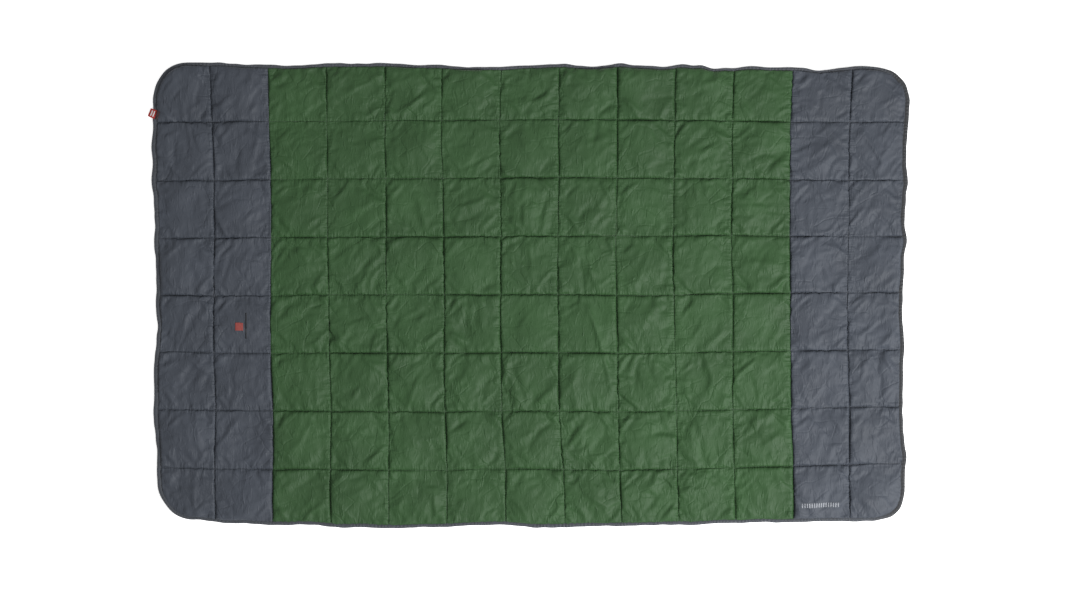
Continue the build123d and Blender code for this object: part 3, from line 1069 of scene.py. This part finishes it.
# ---------------------------------------------------------------- label and printed marks
label_joint = [j for j in frame["joints"] if j["name"] == "label_flap"][0]
root = np.array(label_joint["pos_m"]) * 1000
edge = np.array(label_joint["axis"], float)[:2]
out = np.array([-edge[1], edge[0]])
LABEL_L = 19.0
LABEL_W = 23.5
LABEL_SLIDE = 3.0


def label_point(t, s):
    """t from 0 at the sewn edge to 1 at the free end, s from -1 to 1 across it."""
    spot = root[:2] + out * LABEL_L * t + edge * (LABEL_SLIDE + s * LABEL_W / 2 * (1 - 0.04 * t))
    arch = 10.55 + 0.75 * np.sin(np.pi * np.minimum(t * 1.15, 1.0))
    arch = arch - 1.3 * np.maximum(t - 0.62, 0) ** 1.3
    arch = arch + 0.22 * np.sin(4.0 * s + 5.0 * t) * t
    return np.array([spot[0], spot[1], arch])


warped_face = warped(face)


def sewn_height(px, py):
    """Just above the cloth and the binding at a place on the finished quilt, near the label."""
    gap = np.hypot(warped_face[..., 0] - px, warped_face[..., 1] - py)
    around = warped_face[..., 2][gap < 3.5]
    return max(10.1, around.max() + 0.2 if around.size else 0.0)


def slab(name, shape, nt, ns, thick, t_range, s_range, material, lift=0.0):
    """A thin closed patch that follows a surface given by shape(t, s)."""
    ts = np.linspace(*t_range, nt)
    ss = np.linspace(*s_range, ns)
    top = np.array([[shape(t, s) for s in ss] for t in ts])
    du = np.gradient(top, axis=0)
    dv = np.gradient(top, axis=1)
    normal = np.cross(du, dv)
    normal /= np.linalg.norm(normal, axis=-1, keepdims=True)
    if normal[..., 2].mean() < 0:
        normal = -normal
    top = top + normal * (lift + thick)
    bottom = top - normal * thick
    flip = np.cross(du, dv)[..., 2].mean() < 0
    count = nt * ns
    upper = grid_quads(nt, ns, None, flip)
    lower = grid_quads(nt, ns, None, not flip) + count
    rim = [i * ns for i in range(nt)] + [(nt - 1) * ns + j for j in range(1, ns)]
    rim += [i * ns + ns - 1 for i in range(nt - 2, -1, -1)] + [j for j in range(ns - 2, 0, -1)]
    walls = []
    for a, b in zip(rim, rim[1:] + rim[:1]):
        walls.append((a + count, b + count, b, a) if not flip else (a, b, b + count, a + count))
    quads = np.concatenate([upper, lower, np.array(walls)])
    grid = np.stack(np.meshgrid(ts * 20, ss * 20, indexing="ij"), -1).reshape(-1, 2)
    points = np.concatenate([top.reshape(-1, 3), bottom.reshape(-1, 3)])
    return add_mesh(name, points, quads, np.concatenate([grid, grid]), material)


flap = slab("label_flap_tape", label_point, 26, 22, 0.5, (0, 1), (-1, 1), label_cloth)
# the flap bends up just in front of its tack, which holds its sewn edge
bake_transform(flap)
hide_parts("side_label")
for k, (t0, t1) in enumerate(((0.24, 0.42), (0.56, 0.74))):
    bar = slab(
        "label_bar_%d" % (k + 1), label_point, 6, 18, 0.12, (t0, t1), (-0.66, 0.66), pale_ink, 0.5
    )
    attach(bar, "label")
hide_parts("label_bars")

# Dense dark maroon tack stitches, five rows deep behind the label's sewn edge: partly the real tack,
# partly painted shade at that end of the label
tack_starts = []
tack_ends = []
for row in range(5):
    for k in range(30):
        s = -0.95 + 1.9 * (k + 0.5 * (row % 2)) / 30
        spots = []
        for back in (0.8 + 1.5 * row, 3.0 + 1.5 * row):
            spot = root[:2] + edge * (LABEL_SLIDE + s * LABEL_W / 2) - out * back
            spots.append([*spot, sewn_height(*spot)])
        tack_starts.append(spots[0])
        tack_ends.append(spots[1])
p, f = stitches(tack_starts, tack_ends, THREAD_RADIUS, 1)
tack = add_mesh("label_tack_stitches", p, f, None, maroon_thread_and_shade)
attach(tack, "far_half")
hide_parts("label_tack")


def on_face(px, py):
    """A point of the face cloth at a place in its plan."""
    return warped(resample(face, face_x[:, 0], face_y[0], [px], [py])[0, 0])


def print_mark(name, node, material, slide, size, bars):
    """One printed mark as a row of plain bars; the CAD mark stays on the pocket's flat top."""
    low, high = [1000 * np.array(p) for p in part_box(node)]
    middle = 0.5 * (low + high)[:2] + slide
    low, high = middle - 0.5 * np.array(size), middle + 0.5 * np.array(size)
    pitch = (high[0] - low[0]) / bars
    width = pitch if bars == 1 else 0.55 * pitch
    for k in range(bars):
        start = low[0] + k * pitch
        mark = slab(
            name if bars == 1 else "%s_%02d" % (name, k + 1),
            lambda t, s: on_face(start + t * width, low[1] + s * (high[1] - low[1])),
            max(4, int(width / 1.5)),
            max(6, int((high[1] - low[1]) / 1.5)),
            0.10,
            (0, 1),
            (0, 1),
            material,
            0.12,
        )
        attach(mark, "near_half")
        if k == 0:
            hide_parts(node)


print_mark("print_spot_mark", "print_spot", red_ink, (-9.5, 7.0), (21, 21), 1)
print_mark("print_bar_mark", "print_bar", dark_ink, (-7.5, 3.0), (5, 68), 1)
print_mark("print_strip_mark", "print_strip", strip_ink, (-3.0, -21.0), (100, 12), 16)

# ---------------------------------------------------------------- floor, light, camera
floor_mesh = bpy.data.meshes.new("pale_floor")
FAR = 9.0
floor_corners = [(-FAR, -FAR, 0), (FAR, -FAR, 0), (FAR, FAR, 0), (-FAR, FAR, 0)]
floor_mesh.from_pydata(floor_corners, [], [(0, 1, 2, 3)])
floor = put("pale_floor", floor_mesh)
floor_material = Look("pale_floor").finish(
    Base_Color=(0.9, 0.9, 0.9, 1),
    Roughness=0.9,
    Specular_IOR_Level=0.1,
    Emission_Color=(1, 1, 1, 1),
    Emission_Strength=0.55,
)
floor_mesh.materials.append(floor_material)


def area_light(name, place, aim, size, power):
    data = bpy.data.lights.new(name, "AREA")
    data.shape = "SQUARE"
    data.size = size
    data.energy = power
    light = put(name, data)
    light.location = place
    towards = Vector(aim) - Vector(place)
    light.rotation_euler = towards.to_track_quat("-Z", "Y").to_euler()


area_light("key_light", (3.0, -1.8, 3.4), (0.05, 0, 0), 1.6, 352)
area_light("fill_light", (-1.0, 1.0, 5.0), (0, 0, 0), 5.0, 48)

world = bpy.data.worlds.new("studio")
world.use_nodes = True
world.node_tree.nodes["Background"].inputs["Color"].default_value = (1, 1, 1, 1)
world.node_tree.nodes["Background"].inputs["Strength"].default_value = 0.46
bpy.context.scene.world = world
bpy.context.scene.view_settings.view_transform = "Standard"

camera_data = bpy.data.cameras.new("camera")
camera_data.lens = 85.0
camera_data.sensor_width = 36.0
camera_data.clip_end = 100.0
camera = put("camera", camera_data)
camera.location = (0.0276, -0.0223, 6.72)
camera.rotation_euler = (0, 0, 0)
bpy.context.scene.camera = camera
